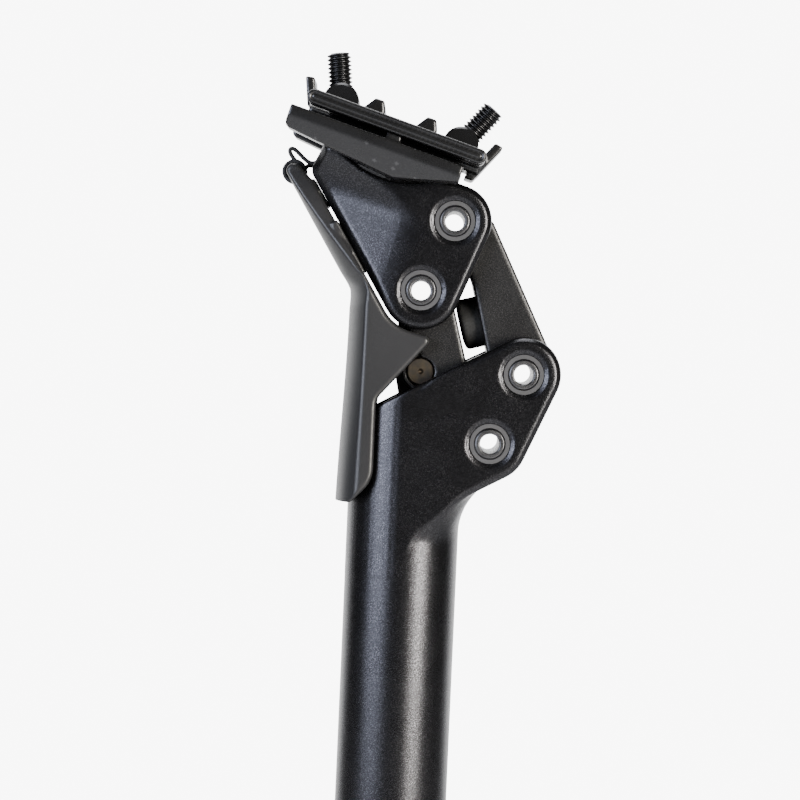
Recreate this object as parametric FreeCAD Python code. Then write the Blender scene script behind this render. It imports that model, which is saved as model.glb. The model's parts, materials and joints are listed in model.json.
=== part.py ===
import FreeCAD, Part
import math
import os

# Suspension seatpost: a 27.2 mm post whose head rides on two parallel links.
# Millimetres. +X is forward, +Y is across to the rider's left, +Z runs up the
# tube's axis. The origin is the centre of the tube's lower end.

# ---------------------------------------------------------------- tube
tube_r = 13.6            # 27.2 mm seat tube size
insert_length = 184.0    # length that may go into the seat tube, up to a turned line
line_width = 1.2
line_depth = 0.3
bore_r = 11.0            # spring bore
tube_end_chamfer = 0.5
mouth_angle = 28.8       # slope of the bracket's top edge, rising forward
bracket_boss_r = 8.95    # ear radius about the two lower pivots
bracket_foot_r = 24.0    # sweep of the ear's lower edge into the tube
bracket_toe = 12.0       # straight part of the lower edge, from the boss
slot_drop = 9.4          # floor of the link slot, below the lower rear pivot
slot_rear_drop = 6.2     # the slot through the tube's rear wall, likewise
edge_chamfer = 1.2

# ---------------------------------------------------------------- linkage
lower_pivot_x = 20.0     # rear link's lower pivot
lower_pivot_z = 279.2
link_length = 40.23      # between a link's two pivots
link_angle = 116.66      # from +X, at rest
pivot_pitch = 18.4       # between the front and rear pivots
pivot_pitch_angle = 66.3
travel_angle = 52.0      # swing of the links at full compression

# ---------------------------------------------------------------- pivot fit
axle_r = 3.78
axle_hole_r = 2.33
axle_inset = 0.35        # axle end below the ear's outer face
running_gap = 0.03
bush_wall = 0.98
bush_flange_r = 6.0
bush_flange = 0.45
bush_inset = 0.45
counterbore_r = 5.75
counterbore_depth = 0.35
ear_inner = 9.1          # half of the gap between a pair of ears
link_half = 8.6          # half of a link's width
link_boss_r = 6.0        # link radius about a hidden pivot
link_front = 8.4         # front link's front edge, from its pivot line
link_chamfer = 0.4
front_heel_r = 7.8       # front link about its lower pivot
front_corner_s = 36.0    # front link's upper corner, along the link
link_corner_r = 10.4     # room in the head for that corner's swing
front_waist = 2.0        # front link behind its pivot line at the waist
front_waist_s = 27.0
waist_r = 12.0
rear_head_r = 6.9        # rear link about its upper pivot
rear_waist = 1.7         # rear link in front of its pivot line at the waist
rear_waist_s = 14.0
rear_waist_r = 6.0
bumper_r = 6.2
bumper_s = 28.1          # bumper on the rear link's front edge
bumper_t = 7.74
bumper_back = 2.7
bumper_front = 4.6
axle_chamfer = 0.45
swing_gap = 0.4

# ---------------------------------------------------------------- pushrod and piston
pin_s = 22.5             # pushrod pin on the rear link: along the link
pin_t = -8.06            # and behind the link's pivot line
pin_r = 3.35
pin_half = 7.8
lug_r = 4.6
lug_half = 7.0
rod_length = 45.0        # pin to the centre of the rod's foot
rod_eye_r = 6.2
rod_half = 3.9
rod_shank_r = 3.8
rod_foot_r = 5.0
rod_bush_wall = 0.9
rod_sweep = 30.0
rod_swing = 44.0         # turn of the pushrod in its fork, at full compression
fork_margin = 4.0        # degrees of fork beyond the swing, each way
cup_gap = 0.05
cup_r = 7.9              # recess for the rod's foot, with room for its sideways drift
piston_top = 6.0         # above the foot's centre
piston_height = 20.0
piston_gap = 0.3
piston_ring_height = 4.0
piston_ring_wall = 0.9
guide_gap = 1.0          # inner spring round its guides
piston_guide = 12.0

# ---------------------------------------------------------------- springs and preload
spring_gap = 0.6         # main spring inside the bore
spring_wire = 3.2
inner_spring_gap = 0.8
inner_spring_wire = 2.2
seat_bottom = 28.0
seat_height = 14.0
plug_bottom = 10.0
plug_height = 12.0
plug_hex = 8.0
plug_seal = 1.6

# ---------------------------------------------------------------- head
head_front_r = 8.8
head_rear_r = 9.4
head_corner_dx = -31.645 # rear top corner, from the upper front pivot
head_corner_dz = 11.0
head_corner_r = 3.2
head_taper_half = 7.2    # half width of the head at its rear top corner
head_length = 60.0       # more than the head's longest side

# ---------------------------------------------------------------- saddle clamp
tilt_dx = -12.05         # tilt centre, from the upper front pivot
tilt_dz = 29.4
clamp_slope = 17.5       # clamp line, falling forward
seat_r = 21.0            # cylinder between head and cradle
seat_gap = 0.05
seat_half = 13.0
rail_r = 3.5
rail_y = 22.0
rail_n = -12.0           # rail centre below the tilt centre, across the clamp
clamp_half = 28.0
plate_top = -7.0
plate_parting = -10.5
plate_end = 22.2
cradle_parting = -12.2
cradle_rear = -25.0
cradle_front = 17.9
ridge_u = 6.6            # stiffening ridges across the upper clamp
ridge_r = 2.2
ridge_rise = 3.9
ridge_half = 11.0
lip_base = 18.6          # guard lips beyond the bolts
lip_foot = -13.8
lip_top = -3.8
lip_wall = 1.6
lip_half = 8.5
nut_u = 15.3
nut_n = -6.5
nut_r = 4.3
nut_half = 7.5
nut_gap = 0.1
bolt_r = 2.95
bolt_hole_r = 3.2
bolt_converge = 23.2     # each bolt from the clamp's normal
bolt_above = 12.0        # bolt end above its nut
bolt_seat = 19.0         # head's bolt seat below the nut
washer_r = 5.3
washer_height = 1.0
bolt_head_r = 4.75
bolt_head = 5.0
bolt_socket_r = 2.9
bolt_socket = 2.8
bolt_chamfer = 0.6
channel_half = 5.9
channel_depth = 2.5      # below the bolt heads
tilt_slot = 1.3          # half length of the bolt slots in the clamp, beyond their holes

# ---------------------------------------------------------------- fender
fender_wall = 1.4
fender_side = 0.1        # guard narrower than the tube, each side
fender_top_half = 6.0    # half width at the hook
fender_gap = 0.7         # to the head's rear edge and boss
fender_behind = 1.8      # guard's back, behind the tube
fender_front = -7.6      # guard's front edges, beside the tube
fender_back_r = 22.9     # crown of the guard's back
fender_tip_dz = -54.5    # guard's lower tip, from the upper rear pivot
fender_reach = 36.0      # arm's inner edge, above the boss
hook_dx = -7.6           # hook at the arm's top, from the head's corner
hook_dz = -0.4
hook_r = 1.9
band_r = 0.55            # rubber band from the hook to two holes in the head
band_loop_r = 2.5
strand_r = 0.5           # the band where it is pulled tight
band_y = 1.65            # each strand from the middle
anchor_dx = 1.2          # band's end in the head, from the head's corner
anchor_dz = 6.2


V = FreeCAD.Vector


def turned(length, degrees):
    """A step of this length at this angle above +X."""
    return (length * math.cos(math.radians(degrees)), length * math.sin(math.radians(degrees)))


def add(point, step):
    return (point[0] + step[0], point[1] + step[1])


def cyl_y(centre, r, y0, y1):
    return Part.makeCylinder(r, y1 - y0, V(centre[0], y0, centre[1]), V(0, 1, 0))


def cyl_z(r, z0, z1):
    return Part.makeCylinder(r, z1 - z0, V(0, 0, z0), V(0, 0, 1))


def rod(start, end, r, y=0.0):
    """A round bar between two points of a plane of constant y."""
    way = V(end[0] - start[0], 0, end[1] - start[1])
    return Part.makeCylinder(r, way.Length, V(start[0], y, start[1]), way)


def rim(circle, angle):
    x, z, r = circle
    return V(x + r * math.cos(angle), 0, z + r * math.sin(angle))


def belt(*circles):
    """Closed outline round circles (x, z, r), anticlockwise; r 0 is a corner, r < 0 a hollow."""
    count = len(circles)
    normals = []
    for i, (x0, z0, r0) in enumerate(circles):
        x1, z1, r1 = circles[(i + 1) % count]
        way = math.atan2(z1 - z0, x1 - x0)
        normals.append(way - math.acos((r0 - r1) / math.hypot(x1 - x0, z1 - z0)))
    edges = []
    for i, angle in enumerate(normals):
        following = circles[(i + 1) % count]
        end = rim(following, angle)
        edges.append(Part.LineSegment(rim(circles[i], angle), end).toShape())
        turn = (normals[(i + 1) % count] - angle) % (2 * math.pi)
        if following[2] < 0:
            turn -= 2 * math.pi
        if following[2] != 0 and abs(turn) > 1e-4:
            middle = rim(following, angle + turn / 2)
            edges.append(Part.Arc(end, middle, rim(following, angle + turn)).toShape())
    return Part.Wire(edges)


def plate(outline, half, y0=None):
    """An outline in the XZ plane made solid from -half to half, or from y0 to half."""
    low = -half if y0 is None else y0
    face = Part.Face(outline)
    face.translate(V(0, low, 0))
    return face.extrude(V(0, half - low, 0))


def place(shape, origin, degrees):
    """Carries a shape drawn in its own XZ frame to its origin and slope in the post's frame."""
    moved = shape.copy()
    moved.rotate(V(0, 0, 0), V(0, -1, 0), degrees)
    moved.translate(V(origin[0], 0, origin[1]))
    return moved


def mirrored(shape):
    return shape.mirror(V(0, 0, 0), V(0, 1, 0))


def joined(*shapes):
    return shapes[0].multiFuse(list(shapes[1:])).removeSplitter()


def cut(shape, *tools):
    for tool in tools:
        shape = shape.cut(tool)
    return shape


def side_edges(shape, half):
    """Edges that lie in the two flat side faces."""
    found = []
    for edge in shape.Edges:
        box = edge.BoundBox
        flat = box.YLength < 1e-6
        if flat and abs(abs(box.YMin) - half) < 1e-6:
            found.append(edge)
    return found


def chamfered(shape, half, size, least_x=None):
    """Chamfers the outlines of the two side faces, or only what lies forward of least_x."""
    edges = side_edges(shape, half)
    if least_x is not None:
        edges = [edge for edge in edges if edge.BoundBox.XMax > least_x]
    return shape.makeChamfer(size, edges)


# ---------------------------------------------------------------- places worked out
link_step = turned(link_length, link_angle)
pitch_step = turned(pivot_pitch, pivot_pitch_angle)
LOWER_REAR = (lower_pivot_x, lower_pivot_z)
LOWER_FRONT = add(LOWER_REAR, pitch_step)
UPPER_REAR = add(LOWER_REAR, link_step)
UPPER_FRONT = add(LOWER_FRONT, link_step)
link_turn = link_angle - 90.0
TILT = add(UPPER_FRONT, (tilt_dx, tilt_dz))
PIN = add(LOWER_REAR, add(turned(pin_t, link_turn), turned(pin_s, link_angle)))
FOOT = (0.0, PIN[1] - math.sqrt(rod_length ** 2 - PIN[0] ** 2))
slot_floor = lower_pivot_z - slot_drop
slot_rear = lower_pivot_z - slot_rear_drop
HEAD_CORNER = add(UPPER_FRONT, (head_corner_dx, head_corner_dz))
spring_r = bore_r - spring_gap
inner_spring_r = spring_r - spring_wire - inner_spring_gap
guide_r = inner_spring_r - inner_spring_wire - guide_gap
bush_r = axle_r + running_gap + bush_wall
fender_half = tube_r - fender_side
fender_back = -tube_r - fender_behind
piston_ceiling = FOOT[1] + piston_top
piston_floor = piston_ceiling - piston_height
rod_rest_angle = math.degrees(math.atan2(FOOT[1] - PIN[1], FOOT[0] - PIN[0]))


def in_clamp(u, n):
    """A point given along and across the clamp line, from the tilt centre."""
    along = turned(u, -clamp_slope)
    return add(TILT, add(along, turned(n, 90.0 - clamp_slope)))


def bolt_point(side, below):
    """A point on a clamp bolt's axis; side is -1 at the rear and 1 at the front."""
    lean = math.radians(bolt_converge)
    return in_clamp(side * (nut_u - below * math.sin(lean)), nut_n - below * math.cos(lean))


# ---------------------------------------------------------------- post
def mouth_height(x):
    """Height of the bracket's sloping top edge over x."""
    touch = add(LOWER_FRONT, turned(bracket_boss_r, mouth_angle + 90.0))
    return touch[1] + (x - touch[0]) * math.tan(math.radians(mouth_angle))


def post_body():
    below = turned(bracket_boss_r, mouth_angle - 90.0)
    toe = add(add(LOWER_REAR, below), turned(bracket_toe, mouth_angle + 180.0))
    sweep = add(toe, turned(bracket_foot_r, mouth_angle - 90.0))
    ear = plate(belt((*LOWER_REAR, bracket_boss_r), (*LOWER_FRONT, bracket_boss_r),
                     (0, mouth_height(0), 0), (0, sweep[1], 0), (*sweep, -bracket_foot_r)), tube_r)
    ear = chamfered(ear, tube_r, edge_chamfer, tube_r)
    reach = 2 * tube_r
    above = plate(belt((-reach, mouth_height(-reach), 0), (reach, mouth_height(reach), 0),
                       (reach, mouth_height(2 * reach), 0), (-reach, mouth_height(2 * reach), 0)), reach)
    body = cyl_z(tube_r, 0, mouth_height(tube_r)).cut(above)
    body = body.makeChamfer(tube_end_chamfer, [e for e in body.Edges if e.BoundBox.ZMax < 1e-6])
    line = cyl_z(tube_r + 1, insert_length, insert_length + line_width).cut(
        cyl_z(tube_r - line_depth, insert_length, insert_length + line_width))
    body = joined(body, ear).cut(line)
    room = plate(belt((*LOWER_REAR, link_boss_r + swing_gap), (*LOWER_FRONT, front_heel_r + 2 * swing_gap),
                      (LOWER_FRONT[0], mouth_height(3 * reach), 0), (-reach, mouth_height(3 * reach), 0),
                      (-reach, slot_rear, 0), (-bore_r + 2.0, slot_rear, 0)), ear_inner)
    pocket = plate(belt((*LOWER_REAR, link_boss_r + swing_gap), (LOWER_REAR[0], slot_rear + reach, 0),
                        (0, slot_rear + reach, 0), (0, slot_floor, 0)), ear_inner)
    full_rear = add(LOWER_REAR, turned(link_length, link_angle + travel_angle))
    relief = cyl_y(full_rear, head_rear_r + swing_gap, -reach, reach)
    body = cut(body, cyl_z(bore_r, -1, mouth_height(reach)), room, pocket, relief)
    for pivot in (LOWER_REAR, LOWER_FRONT):
        body = cut(body, *ear_bores(pivot, tube_r))
    return body


def ear_bores(pivot, outer):
    """The bush bore through both ears, and its shallow outer counterbores."""
    bore = cyl_y(pivot, bush_r, -outer - 1, outer + 1)
    near = cyl_y(pivot, counterbore_r, -outer - 1, -outer + counterbore_depth)
    return bore, near, mirrored(near)


# ---------------------------------------------------------------- pivots
def bush(pivot, outer):
    """A flanged bush in one ear, with its flange against the link."""
    inner_face = ear_inner - bush_flange
    barrel = cyl_y(pivot, bush_r, ear_inner, outer - bush_inset)
    flange = cyl_y(pivot, bush_flange_r, inner_face + running_gap, ear_inner)
    hole = cyl_y(pivot, axle_r + running_gap, 0, outer)
    return joined(barrel, flange).cut(hole)


def axle(pivot, outer):
    """A hollow axle with chamfered ends, held in the link."""
    half = outer - axle_inset
    bar = cyl_y(pivot, axle_r, -half, half)
    ends = [e for e in bar.Edges if e.BoundBox.YLength < 1e-6]
    return bar.makeChamfer(axle_chamfer, ends).cut(cyl_y(pivot, axle_hole_r, -outer, outer))


# ---------------------------------------------------------------- links
def front_link():
    """Wide link in front, hollowed between its bosses at the back."""
    outline = belt((0.5 * (link_front - front_heel_r), 0, front_heel_r),
                   (link_front - 0.8, front_corner_s, 0.8), (0, link_length, link_boss_r),
                   (-waist_r - front_waist, front_waist_s, -waist_r))
    solid = chamfered(plate(outline, link_half), link_half, link_chamfer)
    solid = place(solid, LOWER_FRONT, link_turn)
    bores = [cyl_y(p, axle_r, -tube_r, tube_r) for p in (LOWER_FRONT, UPPER_FRONT)]
    return cut(solid, *bores, bumper_solid(0.0))


def rear_link():
    """Inner link with two lugs behind it that hold the pushrod's pin."""
    body = plate(belt((0, 0, link_boss_r), (rear_waist + rear_waist_r, rear_waist_s, -rear_waist_r),
                      (0, link_length, rear_head_r)), link_half)
    lugs = plate(belt((0, 0, link_boss_r), (rear_waist + rear_waist_r, rear_waist_s, -rear_waist_r),
                      (0, link_length, link_boss_r), (pin_t, pin_s, lug_r)), lug_half)
    solid = place(joined(chamfered(body, link_half, link_chamfer), lugs), LOWER_REAR, link_turn)
    fork = rod_half + swing_gap
    eye = (*PIN, rod_eye_r + swing_gap)
    down = (*add(PIN, turned(rod_sweep, rod_rest_angle + fork_margin)), rod_foot_r)
    back = (*add(PIN, turned(rod_sweep, rod_rest_angle - rod_swing - fork_margin)), rod_foot_r)
    solid = solid.cut(plate(belt(eye, back, down), fork))
    holes = [cyl_y(p, axle_r, -tube_r, tube_r) for p in (LOWER_REAR, UPPER_REAR)]
    return cut(solid, *holes, cyl_y(PIN, pin_r, -tube_r, tube_r))


def bumper_solid(short):
    """Round rubber stop between the links, square to the rear link's front edge."""
    centre = add(LOWER_REAR, add(turned(bumper_t, link_turn), turned(bumper_s, link_angle)))
    slant = link_turn - math.degrees(math.asin((rear_head_r - rear_waist) / (link_length - rear_waist_s)))
    start = add(centre, turned(-bumper_back + short, slant))
    return rod(start, add(centre, turned(bumper_front, slant)), bumper_r)


def topout_bumper():
    solid = bumper_solid(0.0)
    ends = [e for e in solid.Edges if e.Curve.TypeId == "Part::GeomCircle"]
    return solid.makeChamfer(0.6, ends[:1] if ends[0].CenterOfMass.x < ends[-1].CenterOfMass.x else ends[-1:])


# ---------------------------------------------------------------- pushrod, piston and springs
def pushrod():
    way = V(FOOT[0] - PIN[0], 0, FOOT[1] - PIN[1])
    upper = add(PIN, turned(rod_eye_r + 3.0, rod_rest_angle))
    slab = plate(belt((*PIN, rod_eye_r), (*upper, rod_shank_r)), rod_half)
    shank = Part.makeCylinder(rod_shank_r, way.Length, V(PIN[0], 0, PIN[1]), way)
    foot = Part.makeSphere(rod_foot_r, V(FOOT[0], 0, FOOT[1]))
    return joined(slab, shank, foot).cut(cyl_y(PIN, pin_r + running_gap + rod_bush_wall, -tube_r, tube_r))


def pushrod_bush():
    return cyl_y(PIN, pin_r + running_gap + rod_bush_wall, -rod_half, rod_half).cut(
        cyl_y(PIN, pin_r + running_gap, -rod_half, rod_half))


def pushrod_pin():
    bar = cyl_y(PIN, pin_r, -pin_half, pin_half)
    bar = bar.makeChamfer(0.35, [e for e in bar.Edges if e.BoundBox.YLength < 1e-6])
    dimple = Part.makeCone(0.7, 0.0, 0.6, V(PIN[0], -pin_half, PIN[1]), V(0, 1, 0))
    return cut(bar, dimple, mirrored(dimple))


def piston():
    radius = bore_r - piston_gap
    body = cyl_z(radius, piston_floor, piston_ceiling)
    guide = cyl_z(guide_r, piston_floor - piston_guide, piston_floor)
    cup = cyl_z(cup_r, FOOT[1] - rod_foot_r - cup_gap, piston_ceiling)
    groove_low = piston_ceiling - piston_top - piston_ring_height
    groove = cyl_z(bore_r, groove_low, groove_low + piston_ring_height).cut(
        cyl_z(radius - piston_ring_wall, groove_low, groove_low + piston_ring_height))
    return cut(joined(body, guide), cup, groove)


def piston_ring():
    low = piston_ceiling - piston_top - piston_ring_height
    outer = cyl_z(bore_r - running_gap, low, low + piston_ring_height)
    return outer.cut(cyl_z(bore_r - piston_gap - piston_ring_wall, low, low + piston_ring_height))


def spring(outer, wire):
    """Envelope of a coil spring between its seat and the piston."""
    return cyl_z(outer, seat_bottom + seat_height, piston_floor).cut(
        cyl_z(outer - wire, seat_bottom + seat_height, piston_floor))


def spring_seat():
    body = cyl_z(bore_r - piston_gap, seat_bottom, seat_bottom + seat_height)
    guide = cyl_z(guide_r, seat_bottom + seat_height, seat_bottom + seat_height + piston_guide)
    return joined(body, guide)


def preload_plug():
    """Threaded plug under the spring seat, turned with a hexagon key from below."""
    plug = cyl_z(bore_r - running_gap, plug_bottom, plug_bottom + plug_height)
    stub = cyl_z(bore_r - 3.0, plug_bottom + plug_height, seat_bottom)
    key = Part.Face(Part.makePolygon([V(*turned(plug_hex / math.sqrt(3), 60 * i), plug_bottom)
                                      for i in range(7)])).extrude(V(0, 0, plug_height - 3.0))
    band = cyl_z(bore_r, plug_bottom + 4, plug_bottom + 4 + plug_seal).cut(
        cyl_z(bore_r - 1.2, plug_bottom + 4, plug_bottom + 4 + plug_seal))
    return cut(joined(plug, stub), key, band)


def plug_o_ring():
    low = plug_bottom + 4
    return cyl_z(bore_r - running_gap, low, low + plug_seal).cut(cyl_z(bore_r - 1.2, low, low + plug_seal))


# ---------------------------------------------------------------- head
def head():
    corner = (*HEAD_CORNER, head_corner_r)
    outline = belt((*UPPER_REAR, head_rear_r), (*UPPER_FRONT, head_front_r),
                   (*in_clamp(9.0, -15.5), 0), (*in_clamp(-14.5, -13.0), 0), corner)
    solid = chamfered(plate(outline, tube_r), tube_r, edge_chamfer)
    solid = cut(solid, *head_tapers())
    solid = solid.cut(cyl_y(TILT, seat_r, -2 * tube_r, 2 * tube_r))
    solid = solid.cut(clamp_room())
    link_room = plate(belt((*UPPER_REAR, rear_head_r + swing_gap), (*add(UPPER_REAR, (-8.0, -40)), 0),
                           (*add(UPPER_REAR, (60, -40)), 0), (*add(UPPER_FRONT, turned(60, 60)), 0),
                           (*add(UPPER_FRONT, turned(link_corner_r, 60)), 0),
                           (*UPPER_FRONT, link_boss_r + swing_gap)), ear_inner)
    solid = cut(solid, link_room, bolt_channel(), *band_strands(strand_r + running_gap))
    for side in (-1, 1):
        solid = solid.cut(rod(bolt_point(side, 0), bolt_point(side, bolt_seat + 2), bolt_hole_r))
    for pivot in (UPPER_REAR, UPPER_FRONT):
        solid = cut(solid, *ear_bores(pivot, tube_r))
    return solid


def head_tapers():
    """Wedges that narrow the head towards its rear top corner."""
    back = add(UPPER_REAR, (-7.5, 0.5))
    front = add(UPPER_FRONT, (-10.0, 1.5))
    far = (HEAD_CORNER[0] - head_corner_r, HEAD_CORNER[1])
    way = V(front[0] - back[0], 0, front[1] - back[1])
    way.normalize()
    outward = V(-way.z, 0, way.x)
    depth = (V(far[0], 0, far[1]) - V(back[0], 0, back[1])).dot(outward)
    low = V(back[0], -tube_r, back[1]) - way * head_length
    across = outward * (depth * 2)
    drop = V(0, 2 * (tube_r - head_taper_half), 0)
    beside = V(0, -1, 0)
    section = [low, low + across + drop, low + across + beside, low + beside, low]
    wedge = Part.Face(Part.makePolygon(section)).extrude(way * 2 * head_length)
    return wedge, mirrored(wedge)


def clamp_room():
    """Space above the head that the tilting clamp needs."""
    top = plate(belt((-40, -13.5, 0), (-14.6, -13.5, 0), (-14.6, 20, 0), (-40, 20, 0)), 2 * tube_r)
    front = plate(belt((12.0, -15.2, 0), (40, -15.2, 0), (40, 20, 0), (12.0, 20, 0)), 2 * tube_r)
    return place(joined(top, front), TILT, -clamp_slope)


def bolt_channel():
    """Slot open to the rear that takes both bolt heads, with a seat square to each bolt."""
    front_seat = bolt_point(1, bolt_seat)
    rear_seat = bolt_point(-1, bolt_seat)
    front_way = clamp_way(1)
    rear_way = clamp_way(-1)
    half = washer_r + 0.5
    a = add(front_seat, turned(half, front_way + 90))
    b = add(front_seat, turned(half, front_way - 90))
    c = add(rear_seat, turned(half, rear_way + 90))
    d = add(rear_seat, turned(head_length, rear_way - 90))
    e = add(a, turned(bolt_head + washer_height + channel_depth, front_way))
    f = add(d, turned(head_length, rear_way))
    return plate(belt((*e, 0), (*a, 0), (*b, 0), (*c, 0), (*d, 0), (*f, 0)), channel_half)


def clamp_way(side):
    """Direction of a bolt, from its nut to its head, above +X."""
    return 270.0 - clamp_slope - side * bolt_converge


# ---------------------------------------------------------------- clamp
def clamp_bolt(side):
    end = bolt_point(side, -bolt_above)
    under = bolt_point(side, bolt_seat + washer_height)
    shank = rod(end, under, bolt_r)
    middle = shank.CenterOfMass.z
    shank = shank.makeChamfer(bolt_chamfer, [e for e in shank.Edges if e.BoundBox.ZMin > middle])
    cap = rod(under, bolt_point(side, bolt_seat + washer_height + bolt_head), bolt_head_r)
    socket = rod(bolt_point(side, bolt_seat + washer_height + bolt_head - bolt_socket),
                 bolt_point(side, bolt_seat + washer_height + bolt_head), bolt_socket_r)
    return joined(shank, cap).cut(socket)


def clamp_washer(side):
    seat = bolt_point(side, bolt_seat)
    face = bolt_point(side, bolt_seat + washer_height)
    return rod(seat, face, washer_r).cut(rod(seat, face, bolt_hole_r))


def clamp_nut(side):
    centre = bolt_point(side, 0)
    bar = cyl_y(centre, nut_r, -nut_half, nut_half)
    bar = bar.makeChamfer(0.5, [e for e in bar.Edges if e.BoundBox.YLength < 1e-6])
    return bar.cut(rod(bolt_point(side, -10), bolt_point(side, 10), bolt_r + running_gap))


def rail_grooves(part):
    """Cuts the two saddle rail grooves, along the clamp line."""
    start = in_clamp(-40, rail_n)
    end = in_clamp(40, rail_n)
    return cut(part, rod(start, end, rail_r, -rail_y), rod(start, end, rail_r, rail_y))


def bolt_slots(half_height):
    """Slots that leave the bolts room while the clamp tilts about them."""
    slots = []
    for side in (-1, 1):
        for shift in (-tilt_slot, 0.0, tilt_slot):
            top = add(bolt_point(side, -2), turned(shift, -clamp_slope))
            foot = add(bolt_point(side, half_height), turned(shift, -clamp_slope))
            slots.append(rod(top, foot, bolt_hole_r))
    return slots


def cradle():
    """Lower rail clamp: a boat-shaped saddle that rocks in the head's round seat."""
    outline = belt((cradle_rear, cradle_parting, 0), (cradle_rear + 1.4, -16.2, 1.4), (3.0, -17.2, 3.0),
                   (cradle_front, -16.2, 0), (cradle_front, cradle_parting, 0))
    solid = chamfered(plate(outline, clamp_half), clamp_half, 0.5)
    reach = 2 * clamp_half
    middle = plate(belt((-reach, -reach, 0), (reach, -reach, 0), (reach, 0, 0), (-reach, 0, 0)), tube_r + 0.8)
    rocker = plate(belt((-seat_half, -seat_half, 0), (-seat_half, -reach, 0), (seat_half, -reach, 0),
                        (seat_half, -seat_half, 0)), seat_half)
    centre = joined(solid.common(middle), rocker).common(cyl_y((0, 0), seat_r - seat_gap, -reach, reach))
    solid = joined(solid.cut(middle), centre)
    solid = rail_grooves(place(solid, TILT, -clamp_slope))
    return cut(solid, *bolt_slots(18))


def upper_clamp():
    """Upper rail clamp with round seats for both barrel nuts and a guard lip at each end."""
    nose = 0.5 * (plate_top - plate_parting)
    middle = plate_top - nose
    solid = plate(belt((-plate_end + nose, middle, nose), (plate_end - nose, middle, nose)), clamp_half)
    pad = plate(belt((-nut_u - 5.2, plate_parting - 1.6, 0), (-nut_u + 6.5, plate_parting - 1.6, 0),
                     (-nut_u + 6.5, plate_top, 0), (-nut_u - 5.2, plate_top, 0)), nut_half + 2.0)
    ridge = plate(belt((-ridge_u - ridge_r, plate_top - 1, 0), (-ridge_u + ridge_r, plate_top - 1, 0),
                       (-ridge_u, plate_top + ridge_rise - ridge_r, ridge_r)), ridge_half)
    solid = joined(solid, pad, flipped(pad), ridge, flipped(ridge), end_lip(1, lip_foot), end_lip(-1, plate_parting))
    for side in (-1, 1):
        seat = cyl_y((side * nut_u, nut_n), nut_r + nut_gap, -nut_half - 0.3, nut_half + 0.3)
        above = plate(belt((side * nut_u - nut_r - nut_gap, nut_n, 0), (side * nut_u + nut_r + nut_gap, nut_n, 0),
                           (side * nut_u + nut_r + nut_gap, 10, 0), (side * nut_u - nut_r - nut_gap, 10, 0)),
                      nut_half + 0.3)
        solid = cut(solid, seat, above)
    solid = rail_grooves(place(solid, TILT, -clamp_slope))
    return cut(solid, *bolt_slots(12))


def flipped(shape):
    return shape.mirror(V(0, 0, 0), V(1, 0, 0))


def end_lip(side, foot):
    """Thin guard beyond a bolt and parallel to it, from the height foot up to lip_top."""
    lean = math.tan(math.radians(bolt_converge))
    low = (lip_base + (foot - lip_foot) * lean, foot)
    high = (lip_base + (lip_top - lip_foot) * lean, lip_top)
    lip = plate(belt((*low, 0), (low[0] + lip_wall, low[1], 0), (high[0] + lip_wall, high[1], 0), (*high, 0)),
                lip_half)
    return lip if side > 0 else flipped(lip)


# ---------------------------------------------------------------- fender
def rear_edge_angle():
    """Slope of the head's straight rear edge, from its lower boss up to its corner."""
    way = (HEAD_CORNER[0] - UPPER_REAR[0], HEAD_CORNER[1] - UPPER_REAR[1])
    lean = math.degrees(math.asin((head_rear_r - head_corner_r) / math.hypot(*way)))
    return math.degrees(math.atan2(way[1], way[0])) - lean


def fender_outline():
    """Side view of the guard: hook, arm, wing beside the pushrod pin and shield behind the tube."""
    edge = rear_edge_angle()
    clear = head_rear_r + fender_gap
    inner_top = add(add(UPPER_REAR, turned(clear, edge + 90)), turned(fender_reach, edge))
    hook = hook_centre()
    tip = UPPER_REAR[1] + fender_tip_dz
    return belt((*hook, hook_r), (fender_back, UPPER_REAR[1] - 0.5, 0), (fender_back + 0.8, tip + 0.8, 0.8),
                (fender_front - 8.0, tip + 11.5, 8.0), (fender_front + 4.0, UPPER_REAR[1] - 28.0, -4.0),
                (UPPER_REAR[0] + 0.85, UPPER_REAR[1] - clear - 1.3, 1.2), (*UPPER_REAR, -clear), (*inner_top, 0))


def fender_form(inset):
    """The guard's solid form, or the space inside it when inset is its wall."""
    reach = 100.0
    form = plate(fender_outline(), fender_half - inset)
    form.translate(V(inset, 0, 0))
    bend = (fender_back + inset, UPPER_REAR[1] - 0.5)
    arm = rear_edge_angle() + 0.5
    half_turn = (arm + 90) / 2
    radius = fender_back_r - inset
    shield = Part.makeCylinder(radius, reach, V(bend[0] + radius, 0, bend[1] - reach / 2), V(0, 0, 1))
    axis = add(bend, turned(radius, arm - 90))
    foot = add(axis, turned(-reach / 2, arm))
    crown = rod(foot, add(foot, turned(reach, arm)), radius)
    mitre = plate(belt((*add(bend, turned(-reach, half_turn - 90)), 0), (*add(bend, turned(reach, half_turn - 90)), 0),
                       (*add(bend, (reach, reach)), 0), (*add(bend, (-reach, reach)), 0)), 2 * tube_r)
    form = joined(form.common(shield).cut(mitre), form.common(crown).common(mitre))
    start = UPPER_REAR[1] + 3.0
    top = HEAD_CORNER[1] + hook_dz
    narrow = Part.Face(Part.makePolygon([V(-reach, y, z) for y, z in (
        (fender_half - inset, start), (fender_top_half - inset, top), (fender_top_half - inset, top + 9),
        (reach, top + 9), (reach, start), (fender_half - inset, start))])).extrude(V(2 * reach, 0, 0))
    return cut(form, narrow, mirrored(narrow))


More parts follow.
